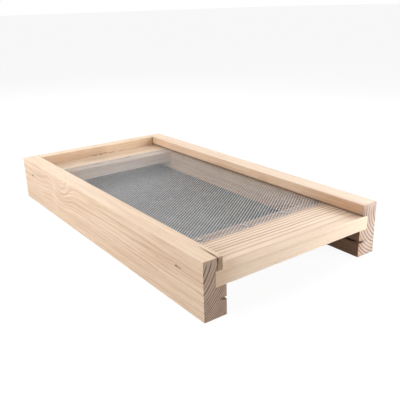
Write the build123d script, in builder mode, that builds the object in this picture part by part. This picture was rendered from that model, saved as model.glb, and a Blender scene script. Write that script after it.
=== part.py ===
"""Screened bottom board for a small beehive: two grooved rails, two boards, a metal screen and a debris tray."""
import os

from build123d import *

# Driving dimensions, in millimetres. X runs across the board, Y from the entrance to the back, Z up.
# The origin is at the middle of the whole object's footprint, on the surface that it stands on.

# Overall
BOARD_WIDTH = 285.0
RAIL_LENGTH = 540.0
RAIL_HEIGHT = 72.5

# Rail section
RAIL_WIDTH = 31.0
LIP_WIDTH = 26.0
GROOVE_FLOOR = 37.5
GROOVE_WALL = 16.0
GROOVE_PLAY = 0.7
KERF_FLOOR = 19.7
KERF_HEIGHT = 3.0
KERF_DEPTH = 6.5
EDGE_ROUND = 0.6

# Split in the left rail's lip, at the front end
SPLIT_INSET = 6.8
SPLIT_WIDTH = 1.7
SPLIT_LENGTH = 56.0
SPLIT_DRIFT = 2.2

# Boards and strips in the grooves
BOARD_THICKNESS = 19.0
FRONT_BOARD_DEPTH = 86.0
REAR_BOARD_DEPTH = 90.0
END_PLAY = 0.3

# Rear rail, between the lips
REAR_RAIL_THICKNESS = 19.5
REAR_RAIL_LEFT_PLAY = 0.3
REAR_RAIL_RIGHT_PLAY = 1.0

# Screen
SCREEN_THICKNESS = 0.8
SCREEN_SIDE_PLAY = 0.8
SCREEN_FRONT_LAP = 19.0
SCREEN_REAR_LAP = 24.0
# Its diamond openings span the clear area between the boards and strips; they are far fewer than the real sheet's
SCREEN_COLUMN_COUNT = 8
SCREEN_ROW_COUNT = 12
SCREEN_STRAND_WIDTH = 3.6

# Screen staples: square wire, crown on the screen
SCREEN_STAPLE_CROWN = 11.0
SCREEN_STAPLE_LEG = 9.0
SCREEN_STAPLE_WIRE = 1.0
# Each place is the nearer lip (-1 left, +1 right), the distance from its face, the distance from the screen's
# nearer end, and the crown's turn in degrees
FRONT_STAPLE_PLACES = [
    (-1, 24.5, 9.5, 8.0),
    (-1, 96.0, 8.5, -72.0),
    (1, 67.0, 8.0, -64.0),
    (1, 8.0, 12.0, 78.0),
]
REAR_STAPLE_PLACES = [
    (-1, 18.5, 8.0, -6.0),
    (-1, 80.5, 9.0, 5.0),
    (1, 87.5, 6.5, 3.0),
    (1, 19.5, 8.0, -8.0),
]

# Rail staples: long wire staples, driven below the wood's face by their sink
RAIL_STAPLE_CROWN = 10.5
RAIL_STAPLE_LEG = 38.0
RAIL_STAPLE_WIRE = 1.4
RAIL_STAPLE_SINK = 0.9
# Their height is above the boards' underside, and their setbacks are from the rails' ends
RAIL_STAPLE_HEIGHT = 11.8
FRONT_RAIL_STAPLE_SETBACK = 46.5
REAR_RAIL_STAPLE_SETBACK = 42.5

# Rear rail staples, driven down into the rear board
REAR_RAIL_STAPLE_LEG = 28.0
REAR_RAIL_STAPLE_SPACING = 150.0

# Tray: one folded sheet
TRAY_SHEET = 1.2
TRAY_SETBACK = 40.0
TRAY_SIDE_PLAY = 1.0
TRAY_REST_PLAY = 0.3
TRAY_LIP_DROP = 15.0
TRAY_BEND_RADIUS = 1.5

# Worked-out places
HALF_WIDTH = BOARD_WIDTH / 2
OVERALL_LENGTH = RAIL_LENGTH + TRAY_REST_PLAY + TRAY_SHEET
FRONT_Y = -OVERALL_LENGTH / 2
REAR_Y = FRONT_Y + RAIL_LENGTH
GROOVE_ROOF = GROOVE_FLOOR + BOARD_THICKNESS + GROOVE_PLAY
BOARD_TOP = GROOVE_FLOOR + BOARD_THICKNESS
RAIL_STAPLE_LEVEL = GROOVE_FLOOR + RAIL_STAPLE_HEIGHT
BOARD_LENGTH = BOARD_WIDTH - 2 * (GROOVE_WALL + END_PLAY)
FRONT_BOARD_REAR = FRONT_Y + FRONT_BOARD_DEPTH
REAR_BOARD_FRONT = REAR_Y - REAR_BOARD_DEPTH
SCREEN_FRONT = FRONT_BOARD_REAR - SCREEN_FRONT_LAP
SCREEN_REAR = REAR_BOARD_FRONT + SCREEN_REAR_LAP
SCREEN_TOP = BOARD_TOP + SCREEN_THICKNESS
LIP_FACE = HALF_WIDTH - LIP_WIDTH
RAIL_FACE = HALF_WIDTH - RAIL_WIDTH
REAR_RAIL_MIDDLE = REAR_Y - REAR_RAIL_THICKNESS / 2
TRAY_FLOOR = KERF_FLOOR + TRAY_REST_PLAY
TRAY_WIDTH = 2 * (RAIL_FACE + KERF_DEPTH - TRAY_SIDE_PLAY)


def block(low, high, mode=Mode.ADD):
    """A box between two opposite corners, added to the open part."""
    size = [top - bottom for bottom, top in zip(low, high)]
    middle = (Vector(*low) + Vector(*high)) / 2
    with Locations(middle):
        Box(*size, mode=mode)


def staple(plane, crown, leg, wire, sink=0.0, mode=Mode.ADD):
    """A square-wire staple: crown along the plane's X, legs along its -Z, driven in by sink below the plane.

    As a cut it also opens the slot above the crown.
    """
    side = Plane(plane.origin, x_dir=plane.x_dir, z_dir=-plane.y_dir)
    inner = crown / 2 - wire
    crown_top = 0 if mode is Mode.SUBTRACT else -sink
    with BuildSketch(side) as outline:
        with BuildLine():
            Polyline(
                (-crown / 2, crown_top),
                (crown / 2, crown_top),
                (crown / 2, -sink - leg),
                (inner, -sink - leg),
                (inner, -sink - wire),
                (-inner, -sink - wire),
                (-inner, -sink - leg),
                (-crown / 2, -sink - leg),
                close=True,
            )
        make_face()
    extrude(outline.sketch, amount=wire / 2, both=True, mode=mode)


def screen_staples(places, edge, inward, mode=Mode.ADD):
    """The screen's staples along one of its ends; inward is +1 from the front end and -1 from the rear end."""
    for side, from_lip, from_edge, turn in places:
        across = side * (LIP_FACE - from_lip)
        on_screen = Plane((across, edge + inward * from_edge, SCREEN_TOP + SCREEN_STAPLE_WIRE))
        staple(
            on_screen.rotated((0, 0, turn)),
            SCREEN_STAPLE_CROWN,
            SCREEN_STAPLE_LEG,
            SCREEN_STAPLE_WIRE,
            mode=mode,
        )


def front_screen_staples(mode=Mode.ADD):
    """The staples at the screen's front end."""
    screen_staples(FRONT_STAPLE_PLACES, SCREEN_FRONT, 1, mode)


def rear_screen_staples(mode=Mode.ADD):
    """The staples at the screen's rear end."""
    screen_staples(REAR_STAPLE_PLACES, SCREEN_REAR, -1, mode)


def rail_staples(side, mode=Mode.ADD):
    """The staples through one rail into the boards' ends; side is -1 for the left rail and +1 for the right."""
    for along in (FRONT_Y + FRONT_RAIL_STAPLE_SETBACK, REAR_Y - REAR_RAIL_STAPLE_SETBACK):
        outside = Plane((side * HALF_WIDTH, along, RAIL_STAPLE_LEVEL), x_dir=(0, 1, 0), z_dir=(side, 0, 0))
        staple(outside, RAIL_STAPLE_CROWN, RAIL_STAPLE_LEG, RAIL_STAPLE_WIRE, RAIL_STAPLE_SINK, mode)


def rear_rail_staples(mode=Mode.ADD):
    """The staples down through the rear rail into the rear board."""
    for across in (-REAR_RAIL_STAPLE_SPACING / 2, REAR_RAIL_STAPLE_SPACING / 2):
        on_top = Plane((across, REAR_RAIL_MIDDLE, RAIL_HEIGHT))
        staple(on_top, RAIL_STAPLE_CROWN, REAR_RAIL_STAPLE_LEG, RAIL_STAPLE_WIRE, RAIL_STAPLE_SINK, mode)


def rail(side):
    """A side rail with its lip, board groove and tray kerf; side is -1 for the left rail and +1 for the right."""
    section = Plane((side * HALF_WIDTH, FRONT_Y, 0), x_dir=(-side, 0, 0), z_dir=(0, side, 0))
    with BuildSketch(section) as outline:
        with BuildLine():
            Polyline(
                (0, 0),
                (0, RAIL_HEIGHT),
                (LIP_WIDTH, RAIL_HEIGHT),
                (LIP_WIDTH, GROOVE_ROOF),
                (GROOVE_WALL, GROOVE_ROOF),
                (GROOVE_WALL, GROOVE_FLOOR),
                (RAIL_WIDTH, GROOVE_FLOOR),
                (RAIL_WIDTH, KERF_FLOOR + KERF_HEIGHT),
                (RAIL_WIDTH - KERF_DEPTH, KERF_FLOOR + KERF_HEIGHT),
                (RAIL_WIDTH - KERF_DEPTH, KERF_FLOOR),
                (RAIL_WIDTH, KERF_FLOOR),
                (RAIL_WIDTH, 0),
                close=True,
            )
        make_face()
    extrude(outline.sketch, amount=side * RAIL_LENGTH)


def round_long_edges(part, axis, groups):
    """Ease the edges of a part that run along an axis, at its lowest and highest level."""
    edges = part.edges().filter_by(axis).group_by(Axis.Z)
    for level in groups:
        fillet(edges[level], EDGE_ROUND)


with BuildPart() as left_rail:
    rail(-1)
    round_long_edges(left_rail, Axis.Y, (0, -1))
    rail_staples(-1, Mode.SUBTRACT)
    # The split opens at the front end and runs out along the grain
    split_x = -LIP_FACE - SPLIT_INSET
    with BuildSketch(Plane.XY.offset(GROOVE_ROOF)):
        with BuildLine():
            Polyline(
                (split_x - SPLIT_WIDTH / 2, FRONT_Y),
                (split_x + SPLIT_WIDTH / 2, FRONT_Y),
                (split_x + SPLIT_DRIFT, FRONT_Y + SPLIT_LENGTH),
                close=True,
            )
        make_face()
    extrude(amount=RAIL_HEIGHT - GROOVE_ROOF, mode=Mode.SUBTRACT)

with BuildPart() as right_rail:
    rail(1)
    round_long_edges(right_rail, Axis.Y, (0, -1))
    rail_staples(1, Mode.SUBTRACT)

with BuildPart() as front_board:
    block((-BOARD_LENGTH / 2, FRONT_Y, GROOVE_FLOOR), (BOARD_LENGTH / 2, FRONT_BOARD_REAR, BOARD_TOP))
    round_long_edges(front_board, Axis.X, (0, -1))
    rail_staples(-1, Mode.SUBTRACT)
    rail_staples(1, Mode.SUBTRACT)
    front_screen_staples(Mode.SUBTRACT)

with BuildPart() as rear_board:
    block((-BOARD_LENGTH / 2, REAR_BOARD_FRONT, GROOVE_FLOOR), (BOARD_LENGTH / 2, REAR_Y, BOARD_TOP))
    round_long_edges(rear_board, Axis.X, (0, -1))
    rail_staples(-1, Mode.SUBTRACT)
    rail_staples(1, Mode.SUBTRACT)
    rear_screen_staples(Mode.SUBTRACT)
    rear_rail_staples(Mode.SUBTRACT)

with BuildPart() as rear_rail:
    block(
        (-LIP_FACE + REAR_RAIL_LEFT_PLAY, REAR_Y - REAR_RAIL_THICKNESS, BOARD_TOP),
        (LIP_FACE - REAR_RAIL_RIGHT_PLAY, REAR_Y, RAIL_HEIGHT),
    )
    round_long_edges(rear_rail, Axis.X, (-1,))
    rear_rail_staples(Mode.SUBTRACT)

strip_outer = HALF_WIDTH - GROOVE_WALL - END_PLAY
with BuildPart() as left_strip:
    block((-strip_outer, FRONT_BOARD_REAR, GROOVE_FLOOR), (-RAIL_FACE, REAR_BOARD_FRONT, BOARD_TOP))

with BuildPart() as right_strip:
    block((RAIL_FACE, FRONT_BOARD_REAR, GROOVE_FLOOR), (strip_outer, REAR_BOARD_FRONT, BOARD_TOP))

screen_half = LIP_FACE - SCREEN_SIDE_PLAY
diamond_width = 2 * RAIL_FACE / SCREEN_COLUMN_COUNT
diamond_length = (REAR_BOARD_FRONT - FRONT_BOARD_REAR) / SCREEN_ROW_COUNT
clear_middle = (FRONT_BOARD_REAR + REAR_BOARD_FRONT) / 2

# One opening: a cell of the lattice, drawn in by half a strand
with BuildSketch() as diamond:
    with BuildLine():
        Polyline(
            (-diamond_width / 2, 0),
            (0, -diamond_length / 2),
            (diamond_width / 2, 0),
            (0, diamond_length / 2),
            close=True,
        )
    make_face()
    offset(amount=-SCREEN_STRAND_WIDTH / 2, kind=Kind.INTERSECTION, mode=Mode.REPLACE)

with BuildPart() as screen:
    block((-screen_half, SCREEN_FRONT, BOARD_TOP), (screen_half, SCREEN_REAR, SCREEN_TOP))
    front_screen_staples(Mode.SUBTRACT)
    rear_screen_staples(Mode.SUBTRACT)
    # Rows of diamonds, and the rows that sit in the gaps between them
    with BuildSketch(Plane((0, clear_middle, BOARD_TOP))):
        for fewer in (0, 1):
            columns = SCREEN_COLUMN_COUNT - fewer
            rows = SCREEN_ROW_COUNT - fewer
            with GridLocations(diamond_width, diamond_length, columns, rows):
                add(diamond.sketch)
    extrude(amount=SCREEN_THICKNESS, mode=Mode.SUBTRACT)

with BuildPart() as front_staples:
    front_screen_staples()

with BuildPart() as rear_staples:
    rear_screen_staples()

with BuildPart() as left_fixings:
    rail_staples(-1)

with BuildPart() as right_fixings:
    rail_staples(1)

with BuildPart() as rear_fixings:
    rear_rail_staples()

# The tray's sheet lies in the kerfs, and its folded lip closes against the rails' rear ends
lip_inner = REAR_Y + TRAY_REST_PLAY
lip_foot = TRAY_FLOOR + TRAY_SHEET - TRAY_LIP_DROP
with BuildPart() as tray:
    with BuildSketch(Plane.YZ):
        with BuildLine():
            Polyline(
                (FRONT_Y + TRAY_SETBACK, TRAY_FLOOR),
                (FRONT_Y + TRAY_SETBACK, TRAY_FLOOR + TRAY_SHEET),
                (lip_inner + TRAY_SHEET, TRAY_FLOOR + TRAY_SHEET),
                (lip_inner + TRAY_SHEET, lip_foot),
                (lip_inner, lip_foot),
                (lip_inner, TRAY_FLOOR),
                close=True,
            )
        make_face()
    extrude(amount=TRAY_WIDTH / 2, both=True)
    fillet(tray.edges().filter_by(Axis.X).group_by(Axis.Y)[-1].sort_by(Axis.Z)[-1], TRAY_BEND_RADIUS)

pieces = {
    "left_rail": left_rail,
    "right_rail": right_rail,
    "front_board": front_board,
    "rear_board": rear_board,
    "rear_rail": rear_rail,
    "left_strip": left_strip,
    "right_strip": right_strip,
    "screen": screen,
    "front_screen_staples": front_staples,
    "rear_screen_staples": rear_staples,
    "left_rail_staples": left_fixings,
    "right_rail_staples": right_fixings,
    "rear_rail_staples": rear_fixings,
    "tray": tray,
}

os.makedirs("parts", exist_ok=True)
for name, piece in pieces.items():
    piece.part.label = name
    export_step(piece.part, f"parts/{name}.step")
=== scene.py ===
"""Looks of the screened bottom board: pale pine, an expanded-metal screen, wire staples and a zinc tray."""
import math
from collections import namedtuple

import bpy
from mathutils import Matrix, Vector


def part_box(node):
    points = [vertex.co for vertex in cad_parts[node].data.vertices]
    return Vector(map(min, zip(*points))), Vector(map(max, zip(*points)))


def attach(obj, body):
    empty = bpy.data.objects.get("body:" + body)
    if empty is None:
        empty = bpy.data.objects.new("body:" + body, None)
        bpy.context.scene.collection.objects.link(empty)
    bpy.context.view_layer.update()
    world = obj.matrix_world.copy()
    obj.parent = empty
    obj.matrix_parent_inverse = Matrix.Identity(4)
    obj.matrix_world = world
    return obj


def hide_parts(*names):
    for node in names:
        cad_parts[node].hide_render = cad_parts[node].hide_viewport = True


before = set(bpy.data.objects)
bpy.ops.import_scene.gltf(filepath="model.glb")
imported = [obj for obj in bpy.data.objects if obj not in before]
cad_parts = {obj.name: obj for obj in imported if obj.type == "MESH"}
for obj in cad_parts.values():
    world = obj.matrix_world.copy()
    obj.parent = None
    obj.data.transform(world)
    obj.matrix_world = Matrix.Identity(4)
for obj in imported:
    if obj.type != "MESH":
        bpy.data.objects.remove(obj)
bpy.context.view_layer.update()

MM = 0.001

# Camera, as fitted to the photograph's straight edges: angles in degrees, lens and sensor in mm
EYE = Vector((-436.38, -678.72, 323.14)) * MM
AZIMUTH, ELEVATION, ROLL = -35.654, 19.884, 1.639
FOCAL_LENGTH, SENSOR = 48.84, 36.0

# The frame's own places
LEFT_RAIL_LOW, LEFT_RAIL_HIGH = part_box("left_rail")
REAR_RAIL_LOW, REAR_RAIL_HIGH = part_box("rear_rail")
RAIL_STAPLES_LOW, RAIL_STAPLES_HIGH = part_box("left_rail_staples")
SCREEN_LOW, SCREEN_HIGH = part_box("screen")

# Faces and levels that the looks are placed by, in mm
LEFT = LEFT_RAIL_LOW.x / MM
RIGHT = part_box("right_rail")[1].x / MM
FRONT = LEFT_RAIL_LOW.y / MM
REAR = REAR_RAIL_HIGH.y / MM
RAIL_TOP = LEFT_RAIL_HIGH.z / MM
BOARD_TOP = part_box("front_board")[1].z / MM
LIP_MIDDLE = (BOARD_TOP + RAIL_TOP) / 2
KERF_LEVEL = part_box("tray")[1].z / MM
STAPLE_LEVEL = (RAIL_STAPLES_LOW.z + RAIL_STAPLES_HIGH.z) / 2 / MM
FOOT_WIDTH = (LEFT_RAIL_HIGH.x - LEFT_RAIL_LOW.x) / MM
LIP_WIDTH, HALF_KERF_DEPTH = 26.0, 3.0

# Soft lights: place, what they face, width and height in metres, and power in watts
Lamp = namedtuple("Lamp", "place target size power")
LAMPS = {
    "over_right": Lamp((0.8, 0.0, 1.2), (0, 0, 0.05), (0.9, 0.9), 3.9),
    "rear_high": Lamp((0.1, 1.2, 1.0), (0, 0, 0.05), (0.9, 0.9), 7.6),
    "right_front": Lamp((0.42, -0.72, 0.16), (0.08, -0.27, 0.05), (0.5, 0.3), 4.8),
    "right_side": Lamp((0.9, 0.1, 0.7), (0, 0, 0.05), (0.6, 0.6), 5.3),
    "left_mid": Lamp((-1.0, 0.1, 0.5), (-0.14, 0.1, 0.04), (0.8, 0.6), 10.0),
    "left_back": Lamp((-0.8, 0.7, 0.35), (-0.14, 0.2, 0.04), (0.6, 0.5), 1.0),
}

# What the white surroundings add to the light on the object
WORLD_LEVEL = 0.03

# The floor: half its side in metres, its shade to the light, and to the eye the shade that takes the shadow
# and the glow that brings it up to white
FLOOR_REACH = 30.0
FLOOR_SHADE, FLOOR_SHADOW_SHADE, FLOOR_GLOW = 0.22, 0.12, 0.93

# Expanded metal: half cells across and along the sheet, strand width in plan, sheet thickness, and how far a
# strand's front edge leans up from its middle
HALF_CELLS_ACROSS, HALF_CELLS_ALONG = 71, 173
STRAND_WIDTH, STRAND_SHEET, STRAND_LEAN = 1.10 * MM, 0.10 * MM, 0.14 * MM

# Patterns: lumps along and across the grain in mm, the noise's detail and roughness, the range of the noise
# in which the pattern sets in, its strength, and the tint that it gives
PATTERN_FIELDS = "along across detail roughness range strength tint"
Pattern = namedtuple("Pattern", PATTERN_FIELDS, defaults=(None, 1.0, None))

# Zinc: the darkest crystals' share of the tint, how far crystals differ in roughness, the white bloom and
# what it adds to the roughness, and the colour of patches of painted light
DARK_CRYSTAL, CRYSTAL_ROUGHNESS = 0.84, 0.06
BLOOM = Pattern(22, 22, 4.0, 0.6, (0.48, 0.75), 0.15, (0.72, 0.73, 0.74))
BLOOM_ROUGHNESS = 0.08
PAINTED_LIGHT_COLOUR = (0.68, 0.72, 0.76)
# A patch of painted light on the zinc: its place and reach in mm, and its share
PaintedLight = namedtuple("PaintedLight", "place reach share")

# Pine's usual colours: the pale wood of spring and the dark wood that ends each year's ring
EARLY, LATE = (0.92, 0.71, 0.53), (0.58, 0.35, 0.22)

# Pine's patterns, and those of its sawn ends
STREAKS = Pattern(240, 14, 3.0, 0.5, (0.42, 0.72), 1.0, (0.91, 0.88, 0.85))
LINES = Pattern(110, 1.7, 2.0, 0.5, (0.48, 0.62), 1.0, (0.80, 0.72, 0.64))
FIBRES = Pattern(18, 0.7, 3.0, 0.6, (0.45, 0.75), 0.8, (0.86, 0.80, 0.74))
RESIN_DUCTS = Pattern(5, 0.55, 1.0, 0.5, (0.67, 0.76), 0.5, (0.62, 0.48, 0.38))
TORN_PITS = Pattern(4, 2, 2.0, 0.5, (0.43, 0.52), 1.0, (0.28, 0.20, 0.15))
PORES = Pattern(0.5, 0.5, 2.0, 0.5, (0.4, 0.75), 1.0, (0.86, 0.86, 0.86))
SAW_MARKS = Pattern(16, 0.9, 2.0, 0.5, (0.5, 0.8), 0.35, (0.80, 0.78, 0.75))

# Growth rings: the length in mm over which the pith sways, the two layers of noise that it sways by, and the
# rings' unevenness, with its strength in mm
SWAY_LENGTH, SWAY_LAYERS = 170, (3.7, 9.1)
UNEVEN_RINGS = Pattern(60, 9, 2.0, 0.5, strength=0.9)

# Late wood: when in the year it sets in and is darkest, how dark the palest year's is, and how many years a
# seed of 1 moves the tree on
LATE_START, LATE_PEAK, PALEST_YEAR = 0.48, 0.92, 0.35
YEARS_PER_SEED = 10

# In the middle of a calm spot rings keep a small share of their contrast, and fine lines fade with them,
# down to another share at most
CALM_RINGS, CALM_LINES = 0.1, 0.4

# Resin ducts show less in early wood than in late wood. Sawn ends show late wood sharply, over a short range
DUCTS_IN_EARLY, DUCTS_IN_LATE = 0.25, 0.75
SAWN_LATE_RANGE = (0.08, 0.55)

# How squarely a face looks along the grain or across it to count as a sawn end or as a face towards the
# inside of a rail. Faces towards the inside get painted shade, so they are darker and redder
FACING_RANGE = (0.6, 0.9)
INNER_SHADE_TINT = (0.80, 0.73, 0.66)

# Usual tints of sawn ends and of the late wood there
END_TINT, END_LATE_TINT = (0.80, 0.80, 0.80), (0.55, 0.50, 0.47)

# The wood's relief: shares of its fibres and late wood, and the bump's strength and depth
FIBRE_RELIEF, LATE_RELIEF = 0.5, 0.35
BUMP_STRENGTH, BUMP_DEPTH = 0.35, 0.12 * MM

# The wood's roughness, which follows its fibres, and what a sawn end adds to it
SMOOTHEST, ROUGHEST, END_ROUGHNESS = 0.46, 0.62, 0.25

# Marks on the wood, each with a place and a reach along the grain, across it and up, in mm. A knot pushes
# rings and lines aside, a tint mark is a real stain in some places and painted shade in others, and at a
# spot the rings are calm or the surface is torn
Spot = namedtuple("Spot", "place reach")
Knot = namedtuple("Knot", "place reach push")
StainAndShade = namedtuple("StainAndShade", "place reach tint")

# Reaches that take in a whole rail or a whole board
WHOLE_LENGTH, WHOLE_WIDTH = 2000, 900

# Rings: their width at a radius, in mm, and how fast they narrow outwards
Rings = namedtuple("Rings", "width radius narrowing")


def add_object(name, data):
    """A new object in the scene."""
    made = bpy.data.objects.new(name, data)
    bpy.context.scene.collection.objects.link(made)
    return made


def camera():
    """The camera at the photograph's viewpoint."""
    azimuth, elevation, roll = (math.radians(angle) for angle in (AZIMUTH, ELEVATION, ROLL))
    back = Vector((
        math.sin(azimuth) * math.cos(elevation),
        -math.cos(azimuth) * math.cos(elevation),
        math.sin(elevation),
    ))
    right = Vector((0, 0, 1)).cross(back).normalized()
    level = Matrix((right, back.cross(right), back)).transposed()
    data = bpy.data.cameras.new("camera")
    data.lens = FOCAL_LENGTH
    data.sensor_width = SENSOR
    made = add_object("camera", data)
    made.matrix_world = Matrix.Translation(EYE) @ (level @ Matrix.Rotation(-roll, 3, "Z")).to_4x4()
    bpy.context.scene.camera = made


class Nodes:
    """A node tree in the making. Each method adds nodes and gives the socket that carries their result."""

    def __init__(self, tree):
        self.tree = tree

    def plug(self, value, socket):
        """Links a socket's result to an input, or sets a plain value there."""
        if isinstance(value, bpy.types.NodeSocket):
            self.tree.links.new(value, socket)
        else:
            socket.default_value = value

    def node(self, kind, inputs=None, **settings):
        """Adds one node, with its settings, and its inputs by name or number as values or sockets."""
        made = self.tree.nodes.new("ShaderNode" + kind)
        for key, value in settings.items():
            setattr(made, key, value)
        for key, value in (inputs or {}).items():
            self.plug(value, made.inputs[key])
        return made

    def math(self, operation, *values):
        return self.node("Math", dict(enumerate(values)), operation=operation).outputs[0]

    def vector(self, operation, *values):
        return self.node("VectorMath", dict(enumerate(values)), operation=operation).outputs["Vector"]

    def length_of(self, vector):
        return self.node("VectorMath", {0: vector}, operation="LENGTH").outputs["Value"]

    def total(self, *values):
        """The sum of several numbers."""
        result = values[0]
        for value in values[1:]:
            result = self.math("ADD", result, value)
        return result

    def step(self, value, low, high):
        """0 below low, 1 above high and smooth between them."""
        inputs = {"Value": value, "From Min": low, "From Max": high}
        return self.node("MapRange", inputs, interpolation_type="SMOOTHSTEP").outputs["Result"]

    def between(self, share, low, high):
        """A number from low to high, by a share from 0 to 1."""
        return self.math("MULTIPLY_ADD", share, high - low, low)

    def fade(self, offset):
        """1 where a vector is zero, falling to almost 0 at a length of 2."""
        squared = self.math("POWER", self.length_of(offset), 2)
        return self.math("EXPONENT", self.math("MULTIPLY", squared, -1))

    def mix(self, share, first, second, blend="MIX"):
        """Two colours mixed by a share."""
        made = self.node("Mix", {"Factor": share}, data_type="RGBA", blend_type=blend)
        colour_inputs = [socket for socket in made.inputs if socket.type == "RGBA"]
        for colour, socket in zip((first, second), colour_inputs):
            self.plug((*colour, 1) if isinstance(colour, tuple) else colour, socket)
        return next(socket for socket in made.outputs if socket.type == "RGBA")

    def tinted(self, colour, share, tint):
        """A colour multiplied by a tint, by a share."""
        return self.mix(share, colour, tint, "MULTIPLY")

    def point(self, x, y, z):
        return self.node("CombineXYZ", {0: x, 1: y, 2: z}).outputs[0]

    def noise(self, vector, detail=2.0, roughness=0.5):
        """Smooth noise with a mean of about a half, with one lump to each unit of the vector."""
        inputs = {"Vector": vector, "Scale": 1.0, "Detail": detail, "Roughness": roughness}
        return self.node("TexNoise", inputs).outputs["Fac"]

    def seen(self):
        """1 for rays that show a thing, also mirrored or through glass, and 0 for its light on others."""
        path = self.node("LightPath").outputs
        relayed = self.math("MAXIMUM", path["Is Glossy Ray"], path["Is Transmission Ray"])
        return self.math("MAXIMUM", path["Is Camera Ray"], relayed)


class Look(Nodes):
    """A material in the making."""

    def __init__(self, name):
        self.material = bpy.data.materials.new(name)
        self.material.use_nodes = True
        super().__init__(self.material.node_tree)
        self.tree.nodes.clear()

    def finish(self, shader):
        self.node("OutputMaterial", {"Surface": shader.outputs[0]})
        return self.material


class Pine(Look):
    """Pine with growth rings about a pith, so that its faces and ends show one and the same tree.

    along is the grain's axis, and seed gives each piece a grain of its own.
    """

    def __init__(self, name, along, seed):
        super().__init__(name)
        self.seed = seed
        coordinates = self.node("TexCoord").outputs
        place = self.node("SeparateXYZ", {0: coordinates["Object"]}).outputs
        facing = self.node("SeparateXYZ", {0: coordinates["Normal"]}).outputs
        order = (1, 0, 2) if along == "Y" else (0, 1, 2)
        self.length, self.across, self.up = (self.math("DIVIDE", place[axis], MM) for axis in order)
        self.side_facing = facing[order[1]]
        self.end_share = self.step(self.math("ABSOLUTE", facing[order[0]]), *FACING_RANGE)

    def spot(self, place, reach):
        """1 at a place, fading to 0 over its reach."""
        here = (self.length, self.across, self.up)
        return self.fade(self.point(*(
            self.math("DIVIDE", self.total(at, -middle), far) for at, middle, far in zip(here, place, reach)
        )))

    def grain(self, pattern, up=None):
        """A pattern's noise, drawn out along the grain."""
        vector = self.point(
            self.math("MULTIPLY", self.length, 1 / pattern.along),
            self.math("MULTIPLY", self.across, 1 / pattern.across),
            self.math("MULTIPLY", self.up if up is None else up, 1 / pattern.across),
        )
        return self.noise(vector, pattern.detail, pattern.roughness)

    def saw_marks(self):
        """The noise of the saw's marks, which lie across the sawn ends."""
        vector = self.point(
            self.math("MULTIPLY", self.across, 1 / SAW_MARKS.along),
            self.seed,
            self.math("MULTIPLY", self.up, 1 / SAW_MARKS.across),
        )
        return self.noise(vector, SAW_MARKS.detail, SAW_MARKS.roughness)

    def marked(self, colour, pattern, noise, share=1.0):
        """A colour with a pattern's tint where its noise is strong, by a share."""
        strength = self.math("MULTIPLY", self.step(noise, *pattern.range), pattern.strength)
        return self.tinted(colour, self.math("MULTIPLY", strength, share), pattern.tint)

    def years(self, pith, rings, sway, knots):
        """Years out from the pith, which sways along the grain, and the height that fine lines follow."""
        drift = self.math("MULTIPLY_ADD", self.length, 1 / SWAY_LENGTH, self.seed)
        sways = (self.noise(self.point(drift, self.seed, layer)) for layer in SWAY_LAYERS)
        sway_across, sway_up = (self.between(noise, -sway, sway) for noise in sways)
        radius = self.length_of(self.point(
            self.total(self.across, sway_across, -pith[0]),
            self.total(self.up, sway_up, -pith[1]),
            0.0,
        ))
        unevenness = self.between(self.grain(UNEVEN_RINGS), -UNEVEN_RINGS.strength, UNEVEN_RINGS.strength)
        radius = self.total(radius, unevenness)
        bent_up = self.up
        for knot in knots:
            pushed = self.math("MULTIPLY", self.spot(knot.place, knot.reach), knot.push)
            radius = self.math("SUBTRACT", radius, pushed)
            bent_up = self.total(bent_up, pushed)
        power = rings.narrowing + 1
        years_per_radius = 1 / (rings.width * rings.radius**rings.narrowing * power)
        return self.math("MULTIPLY", self.math("POWER", radius, power), years_per_radius), bent_up

    def latewood(self, years):
        """The dark wood that ends each year's ring, darker in some years than in others."""
        season = self.math("FRACT", years)
        year = self.math("FLOOR", self.total(years, self.seed * YEARS_PER_SEED))
        weather = self.node("TexWhiteNoise", {"W": year}, noise_dimensions="1D").outputs["Value"]
        rise = self.step(season, LATE_START, LATE_PEAK)
        fall = self.step(season, LATE_PEAK, 1.0)
        darkness = self.between(weather, PALEST_YEAR, 1.0)
        return self.math("MULTIPLY", self.math("SUBTRACT", rise, fall), darkness)


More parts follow.
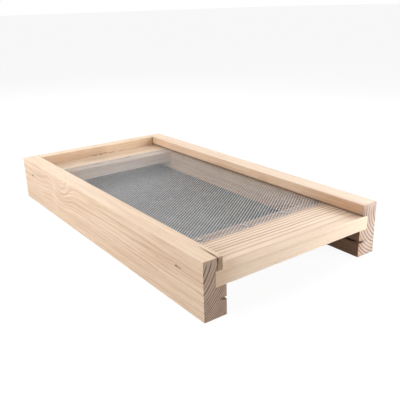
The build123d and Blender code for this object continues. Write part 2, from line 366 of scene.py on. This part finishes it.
def pine(name, along, seed, pith, rings, early, late, contrast, grain=0.5, sway=6.0, knots=(), calm=(),
         stains_and_shade=(), torn=(), end=END_TINT, end_late=END_LATE_TINT, inner=0):
    """Planed, unfinished pine.

    pith is the rings' middle in the cross-section, in mm, and sway is how far it strays. early and late are
    the colours of the rings, which show on the faces by their contrast. grain is the strength of the fine
    lines. Rings and lines fade at calm spots, and torn spots have dark pits. end tints the sawn ends, and
    end_late the late wood there. inner is the side, -1 or 1, whose faces get painted shade, or 0.
    """
    wood = Pine(name, along, seed)
    years, bent_up = wood.years(pith, rings, sway, knots)
    figured = 1.0
    for spot in calm:
        figured = wood.math("MULTIPLY", figured, wood.between(wood.spot(*spot), 1.0, CALM_RINGS))
    latewood = wood.math("MULTIPLY", wood.latewood(years), figured)

    # Rings, soft on the faces and sharp on the sawn ends
    sawn_late = tuple(light * dark for light, dark in zip(early, end_late))
    face_rings = wood.mix(wood.math("MULTIPLY", latewood, contrast), early, late)
    end_rings = wood.mix(wood.step(latewood, *SAWN_LATE_RANGE), early, sawn_late)
    colour = wood.mix(wood.end_share, face_rings, end_rings)

    # Fine lines on the faces, broad streaks, fibres and short dark resin ducts
    fibres = wood.grain(FIBRES)
    line_share = wood.math(
        "MULTIPLY", wood.between(wood.end_share, grain, 0.0), wood.between(figured, CALM_LINES, 1.0)
    )
    duct_share = wood.between(latewood, DUCTS_IN_EARLY, DUCTS_IN_LATE)
    colour = wood.marked(colour, LINES, wood.grain(LINES, bent_up), line_share)
    colour = wood.marked(colour, STREAKS, wood.grain(STREAKS))
    colour = wood.marked(colour, FIBRES, fibres)
    colour = wood.marked(colour, RESIN_DUCTS, wood.grain(RESIN_DUCTS), duct_share)

    # Stains and painted shade, torn spots, and painted shade on the faces towards the inside
    for tint_mark in stains_and_shade:
        colour = wood.tinted(colour, wood.spot(tint_mark.place, tint_mark.reach), tint_mark.tint)
    for spot in torn:
        colour = wood.marked(colour, TORN_PITS, wood.grain(TORN_PITS), wood.spot(*spot))
    # Painted shade: the faces towards the inside of a rail are darkened and reddened
    if inner:
        inner_shade = wood.step(wood.math("MULTIPLY", wood.side_facing, inner), *FACING_RANGE)
        colour = wood.tinted(colour, inner_shade, INNER_SHADE_TINT)

    # Sawn ends, with pores and the saw's marks
    pores = wood.grain(PORES)
    saw_marks = wood.saw_marks()
    colour = wood.tinted(colour, wood.end_share, end)
    colour = wood.marked(colour, PORES, pores, wood.end_share)
    colour = wood.marked(colour, SAW_MARKS, saw_marks, wood.end_share)

    relief = wood.total(
        wood.math("MULTIPLY", fibres, FIBRE_RELIEF),
        wood.math("MULTIPLY", latewood, LATE_RELIEF),
        wood.math("MULTIPLY", wood.end_share, wood.total(pores, saw_marks)),
    )
    bump = wood.node("Bump", {"Height": relief, "Strength": BUMP_STRENGTH, "Distance": BUMP_DEPTH})
    roughness = wood.total(
        wood.between(fibres, SMOOTHEST, ROUGHEST), wood.math("MULTIPLY", wood.end_share, END_ROUGHNESS)
    )
    surface = {"Base Color": colour, "Roughness": roughness, "Normal": bump.outputs[0]}
    return wood.finish(wood.node("BsdfPrincipled", surface))


def galvanised(name, tint, spangle, roughness, metallic, bloom_share=BLOOM.strength, painted_lights=()):
    """Dull zinc-coated steel: crystal spangles, each of its own shade and of a given size in mm, and bloom.

    bloom_share is the strength of the bloom's blotches. Each of painted_lights is a broad patch of painted
    light, placed in mm.
    """
    look = Look(name)
    place = look.vector("MULTIPLY", look.node("TexCoord").outputs["Object"], (1 / MM,) * 3)
    crystals = look.node("TexVoronoi", {"Vector": place, "Scale": 1 / spangle}, feature="F1")
    shade = look.node("SeparateColor", {0: crystals.outputs["Color"]}).outputs
    colour = look.mix(shade[0], tuple(DARK_CRYSTAL * part for part in tint), tint)
    bloom = look.noise(look.vector("MULTIPLY", place, (1 / BLOOM.along,) * 3), BLOOM.detail, BLOOM.roughness)
    blotches = look.math("MULTIPLY", look.step(bloom, *BLOOM.range), bloom_share)
    colour = look.mix(blotches, colour, BLOOM.tint)
    # Patches of painted light, paler where light falls on the sheet
    for painted_light in painted_lights:
        offset = look.vector("DIVIDE", look.vector("SUBTRACT", place, painted_light.place), painted_light.reach)
        colour = look.mix(look.math("MULTIPLY", look.fade(offset), painted_light.share), colour, PAINTED_LIGHT_COLOUR)
    rough = look.total(
        look.between(shade[1], roughness - CRYSTAL_ROUGHNESS, roughness + CRYSTAL_ROUGHNESS),
        look.math("MULTIPLY", bloom, BLOOM_ROUGHNESS),
    )
    surface = {"Base Color": colour, "Roughness": rough, "Metallic": metallic}
    return look.finish(look.node("BsdfPrincipled", surface))


def dress(node, material):
    """Gives a CAD node one material all over."""
    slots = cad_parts[node].data.materials
    slots.clear()
    slots.append(material)


def lights():
    """The soft lights and the white surroundings."""
    for name, lamp in LAMPS.items():
        data = bpy.data.lights.new(name, "AREA")
        data.shape = "RECTANGLE"
        data.size, data.size_y = lamp.size
        data.energy = lamp.power
        made = add_object(name, data)
        made.location = lamp.place
        towards = Vector(lamp.target) - Vector(lamp.place)
        made.rotation_euler = towards.to_track_quat("-Z", "Y").to_euler()
    world = bpy.data.worlds.new("surrounding")
    world.use_nodes = True
    bpy.context.scene.world = world
    nodes = Nodes(world.node_tree)
    background = world.node_tree.nodes["Background"].inputs
    background["Color"].default_value = (1, 1, 1, 1)
    nodes.plug(nodes.between(nodes.seen(), WORLD_LEVEL, 1.0), background["Strength"])


def floor():
    """A large floor: white to the eye, with the object's soft shadow, and a plain reflector to the light."""
    look = Look("floor")
    plain, shadowed = (
        look.node("BsdfDiffuse", {"Color": (shade, shade, shade, 1)}).outputs[0]
        for shade in (FLOOR_SHADE, FLOOR_SHADOW_SHADE)
    )
    glow = look.node("Emission", {"Color": (1, 1, 1, 1), "Strength": FLOOR_GLOW}).outputs[0]
    white = look.node("AddShader", {0: shadowed, 1: glow}).outputs[0]
    shader = look.node("MixShader", {0: look.seen(), 1: plain, 2: white})
    corners = [(-1, -1), (1, -1), (1, 1), (-1, 1)]
    mesh = bpy.data.meshes.new("floor")
    mesh.from_pydata([(x * FLOOR_REACH, y * FLOOR_REACH, 0) for x, y in corners], [], [range(len(corners))])
    made = add_object("floor", mesh)
    mesh.materials.append(look.finish(shader))


def left_rail():
    """The near rail: two knots in its outer face, a split lip, and painted shade at the staples sunk in it.
    """
    kerf_middle = LEFT + FOOT_WIDTH - HALF_KERF_DEPTH
    first_knot = Knot(place=(FRONT + 376, LEFT, 66), reach=(32, 60, 34), push=15.0)
    second_knot = Knot(place=(FRONT + 420, LEFT, 60), reach=(24, 60, 40), push=-5.0)
    band_between_knots = Spot(place=(FRONT + 404, LEFT, 45), reach=(9, 30, 45))
    planed_top = Spot(place=(0, LEFT + LIP_WIDTH / 2, RAIL_TOP + 2), reach=(WHOLE_LENGTH, 60, 8))
    sliver_end = StainAndShade(
        place=(FRONT, LEFT + LIP_WIDTH - 2.5, LIP_MIDDLE + 1.5), reach=(4, 3.2, 10), tint=(0.72, 0.70, 0.50)
    )
    split = StainAndShade(
        place=(FRONT + 12, LEFT + LIP_WIDTH - 6.2, RAIL_TOP), reach=(15, 1.3, 9), tint=(0.24, 0.17, 0.13)
    )
    # Painted shade: a dark band along the groove that holds the tray
    painted_kerf_shade = StainAndShade(
        place=(0, kerf_middle, KERF_LEVEL), reach=(WHOLE_LENGTH, 6, 1.6), tint=(0.42, 0.34, 0.29)
    )
    # Painted shade: dark spots where the staples sit sunk in their slots
    painted_staple_slot_shade = [
        StainAndShade(place=(along, LEFT, STAPLE_LEVEL), reach=(2, 3, 1.3), tint=(0.20, 0.17, 0.15))
        for along in (FRONT + 51.5, REAR - 37.5)
    ]
    dress("left_rail", pine(
        "left_rail_pine",
        along="Y",
        seed=1.3,
        pith=(LEFT - 50, RAIL_TOP + 14.5),
        rings=Rings(width=6.5, radius=55, narrowing=1.6),
        early=EARLY,
        late=LATE,
        contrast=0.58,
        grain=0.75,
        knots=[first_knot, second_knot],
        calm=[planed_top, band_between_knots],
        stains_and_shade=[sliver_end, split, painted_kerf_shade, *painted_staple_slot_shade],
        end=(0.62, 0.58, 0.59),
        end_late=(0.22, 0.18, 0.16),
        inner=1,
    ))


def right_rail():
    """The far rail, which shows its inner side: a shaded lip with painted shadow at its foot, and painted
    shade on the rail's foot under the front board.
    """
    lip_face = RIGHT - LIP_WIDTH
    foot_face = RIGHT - FOOT_WIDTH
    lip_centre = RIGHT - LIP_WIDTH / 2
    kerf_middle = foot_face + HALF_KERF_DEPTH
    planed_top = Spot(place=(0, lip_centre, RAIL_TOP + 2), reach=(WHOLE_LENGTH, 60, 8))
    front_of_lip = StainAndShade(
        place=(FRONT + 20, lip_face, LIP_MIDDLE), reach=(75, 6, 14), tint=(0.76, 0.66, 0.58)
    )
    # Painted shadow: a dark line along the foot of the lip, where it meets the board and the screen
    painted_lip_foot_shadow = StainAndShade(
        place=(0, lip_face, BOARD_TOP + 0.3), reach=(WHOLE_LENGTH, 3, 2.5), tint=(0.10, 0.08, 0.07)
    )
    # Painted shade on the foot under the front board, reddening it and darkening it further in
    reddened_foot_shade = StainAndShade(place=(FRONT + 80, foot_face, 12), reach=(200, 8, 26), tint=(1.0, 0.80, 0.68))
    painted_foot_shade = StainAndShade(place=(FRONT + 100, foot_face, 6), reach=(60, 8, 30), tint=(0.25, 0.19, 0.15))
    # Painted shade: a dark band along the groove that holds the tray
    painted_kerf_shade = StainAndShade(
        place=(0, kerf_middle, KERF_LEVEL), reach=(WHOLE_LENGTH, 8, 2.2), tint=(0.22, 0.15, 0.11)
    )
    upper_end = StainAndShade(
        place=(FRONT, lip_centre, LIP_MIDDLE - 2.5), reach=(3, 24, 17), tint=(0.86, 0.84, 0.83)
    )
    dress("right_rail", pine(
        "right_rail_pine",
        along="Y",
        seed=4.1,
        pith=(RIGHT + 24, LIP_MIDDLE - 2.5),
        rings=Rings(width=4.5, radius=50, narrowing=0.2),
        early=(0.92, 0.73, 0.57),
        late=LATE,
        contrast=0.4,
        calm=[planed_top],
        stains_and_shade=[front_of_lip, painted_lip_foot_shadow, reddened_foot_shade, painted_foot_shade, painted_kerf_shade, upper_end],
        end=(0.78, 0.78, 0.84),
        end_late=(0.32, 0.27, 0.27),
        inner=-1,
    ))


def front_board():
    """The landing board: bold lines on its top, a calm front edge, and painted shade on the lap under the
    screen and at the left end of its front.
    """
    front_edge = Spot(place=(0, FRONT, BOARD_TOP - 8), reach=(WHOLE_WIDTH, 19, 40))
    # Painted shade: the lap under the screen is darkened, as the screen's strands shade it
    painted_lap_shade = StainAndShade(place=(0, FRONT + 79, BOARD_TOP), reach=(500, 11, 8), tint=(0.52, 0.43, 0.39))
    # Painted shade: the front face darkens towards its left end
    painted_left_end_shade = StainAndShade(
        place=(LEFT + 12, FRONT, BOARD_TOP - 10), reach=(30, 12, 22), tint=(0.82, 0.72, 0.64)
    )
    dress("front_board", pine(
        "front_board_pine",
        along="X",
        seed=7.7,
        pith=(FRONT + 8, BOARD_TOP + 25),
        rings=Rings(width=5.2, radius=50, narrowing=0.0),
        early=(0.94, 0.75, 0.58),
        late=(0.42, 0.22, 0.15),
        contrast=1.0,
        grain=0.25,
        sway=1.2,
        calm=[front_edge],
        stains_and_shade=[painted_lap_shade, painted_left_end_shade],
    ))


def rear_board():
    """The rear board: pale under the screen, painted paler for the screen's sheen there, and with painted
    shade on the bare strip behind it.
    """
    strip_middle = (SCREEN_HIGH.y + REAR_RAIL_LOW.y) / 2 / MM
    half_strip = (REAR_RAIL_LOW.y - SCREEN_HIGH.y) / 2 / MM
    # Painted shade: the bare strip behind the screen is darkened, where the rear rail shades it
    shaded_bare_strip = StainAndShade(
        place=(0, strip_middle, BOARD_TOP), reach=(WHOLE_WIDTH, 1.3 * half_strip, 6), tint=(0.74, 0.63, 0.50)
    )
    dark_patch = StainAndShade(
        place=(LEFT + 120, strip_middle, BOARD_TOP), reach=(24, 9, 6), tint=(0.76, 0.75, 0.74)
    )
    dress("rear_board", pine(
        "rear_board_pine",
        along="X",
        seed=2.9,
        pith=(REAR - 40, BOARD_TOP - 70),
        rings=Rings(width=5.0, radius=60, narrowing=0.3),
        # Painted highlight: the wood is paler than pine's usual colour, standing in for the screen's sheen
        # over it
        early=(0.92, 0.80, 0.70),
        late=LATE,
        contrast=0.3,
        grain=0.4,
        stains_and_shade=[shaded_bare_strip, dark_patch],
    ))


def rear_rail():
    """The rear rail, with a dark joint at its right end and torn grain along the foot of its face."""
    face = REAR_RAIL_LOW.y / MM
    joint = StainAndShade(
        place=(RIGHT - LIP_WIDTH, face, LIP_MIDDLE), reach=(1.6, 8, 14), tint=(0.35, 0.25, 0.20)
    )
    torn_foot = Spot(place=(LEFT + 145, face, BOARD_TOP), reach=(38, 8, 2.6))
    dress("rear_rail", pine(
        "rear_rail_pine",
        along="X",
        seed=5.6,
        pith=(REAR + 40, LIP_MIDDLE - 0.5),
        rings=Rings(width=5.0, radius=60, narrowing=0.2),
        early=(0.93, 0.73, 0.53),
        late=LATE,
        contrast=0.45,
        stains_and_shade=[joint],
        torn=[torn_foot],
    ))


def strips():
    """The filler strips in the rails' grooves."""
    for strip in ("left_strip", "right_strip"):
        dress(strip, pine(
            f"{strip}_pine",
            along="Y",
            seed=3.3,
            pith=(0, 0),
            rings=Rings(width=4.0, radius=120, narrowing=0.3),
            early=(0.74, 0.53, 0.38),
            late=LATE,
            contrast=0.4,
        ))


def strand_points(strand, cell, row):
    """One zigzag strand's corners, four at each bond, from the left edge to the right."""
    middle = SCREEN_LOW.z + 2 * STRAND_LEAN + STRAND_SHEET / 2
    near = SCREEN_LOW.y + strand * row + STRAND_WIDTH / 2
    far = SCREEN_LOW.y + (strand + 1) * row - STRAND_WIDTH / 2
    points = []
    for bond in range(HALF_CELLS_ACROSS + 1):
        at_near = (bond + strand) % 2 == 0
        x = SCREEN_LOW.x + bond * cell
        y = near if at_near else far
        z = middle - STRAND_LEAN if at_near else middle + STRAND_LEAN
        for side, face in [(-1, -1), (1, -1), (1, 1), (-1, 1)]:
            lean = side * STRAND_LEAN
            points.append((x, y + side * STRAND_WIDTH / 2, z - lean + face * STRAND_SHEET / 2))
    return points


def strand_faces(start):
    """The faces of a strand whose corners begin at a given number: four sides to each run and two ends."""
    corners = 4
    faces = []
    for bond in range(HALF_CELLS_ACROSS):
        here = start + corners * bond
        beyond = here + corners
        for corner in range(corners):
            after = (corner + 1) % corners
            faces.append((here + corner, here + after, beyond + after, beyond + corner))
    last = start + corners * HALF_CELLS_ACROSS
    faces.append(range(start + corners - 1, start - 1, -1))
    faces.append(range(last, last + corners))
    return faces


def screen():
    """The screen: zigzag strands that join at tilted bonds, as a slit and stretched sheet."""
    cell = (SCREEN_HIGH.x - SCREEN_LOW.x) / HALF_CELLS_ACROSS
    row = (SCREEN_HIGH.y - SCREEN_LOW.y) / HALF_CELLS_ALONG
    points, faces = [], []
    for strand in range(HALF_CELLS_ALONG):
        faces += strand_faces(len(points))
        points += strand_points(strand, cell, row)
    mesh = bpy.data.meshes.new("screen_mesh")
    mesh.from_pydata(points, [], faces)
    mesh.validate()
    mesh.materials.append(galvanised(
        "mesh_zinc", (0.87, 0.875, 0.885), spangle=3.0, roughness=0.42, metallic=0.2, bloom_share=0.0,
    ))
    made = add_object("screen_mesh", mesh)
    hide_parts("screen")
    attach(made, "board")


def tray():
    """The tray: zinc painted near black for the shade under the screen, with painted light along its left
    side and towards the back.
    """
    # Painted light: pale patches where light reaches the tray through the screen
    painted_left_light = PaintedLight(place=(-95, 40, 20), reach=(100, 420, 60), share=0.25)
    painted_rear_light = PaintedLight(place=(0, 200, 20), reach=(160, 110, 60), share=0.46)
    # Painted shade: the zinc's near-black tint stands in for the shade under the screen
    dress("tray", galvanised(
        "tray_zinc_painted_shade", (0.05, 0.049, 0.05), spangle=9.0, roughness=0.4, metallic=0.5,
        painted_lights=[painted_left_light, painted_rear_light],
    ))


def staples():
    """Bright wire for the screen's staples, and dull wire darkened with painted shade for those driven into
    the wood.
    """
    bright = galvanised("staple_zinc", (0.58, 0.58, 0.57), spangle=2.0, roughness=0.32, metallic=0.7)
    for node in ("front_screen_staples", "rear_screen_staples"):
        dress(node, bright)
    # Painted shade: the driven staples' wire is darkened for the shade in their sunk slots
    shaded_dull_wire = galvanised("rail_staple_zinc_painted_shade", (0.22, 0.21, 0.20), spangle=2.0, roughness=0.5, metallic=0.4)
    for node in ("left_rail_staples", "right_rail_staples", "rear_rail_staples"):
        dress(node, shaded_dull_wire)


camera()
lights()
floor()
left_rail()
right_rail()
front_board()
rear_board()
rear_rail()
strips()
screen()
tray()
staples()

bpy.context.scene.view_settings.view_transform = "Standard"
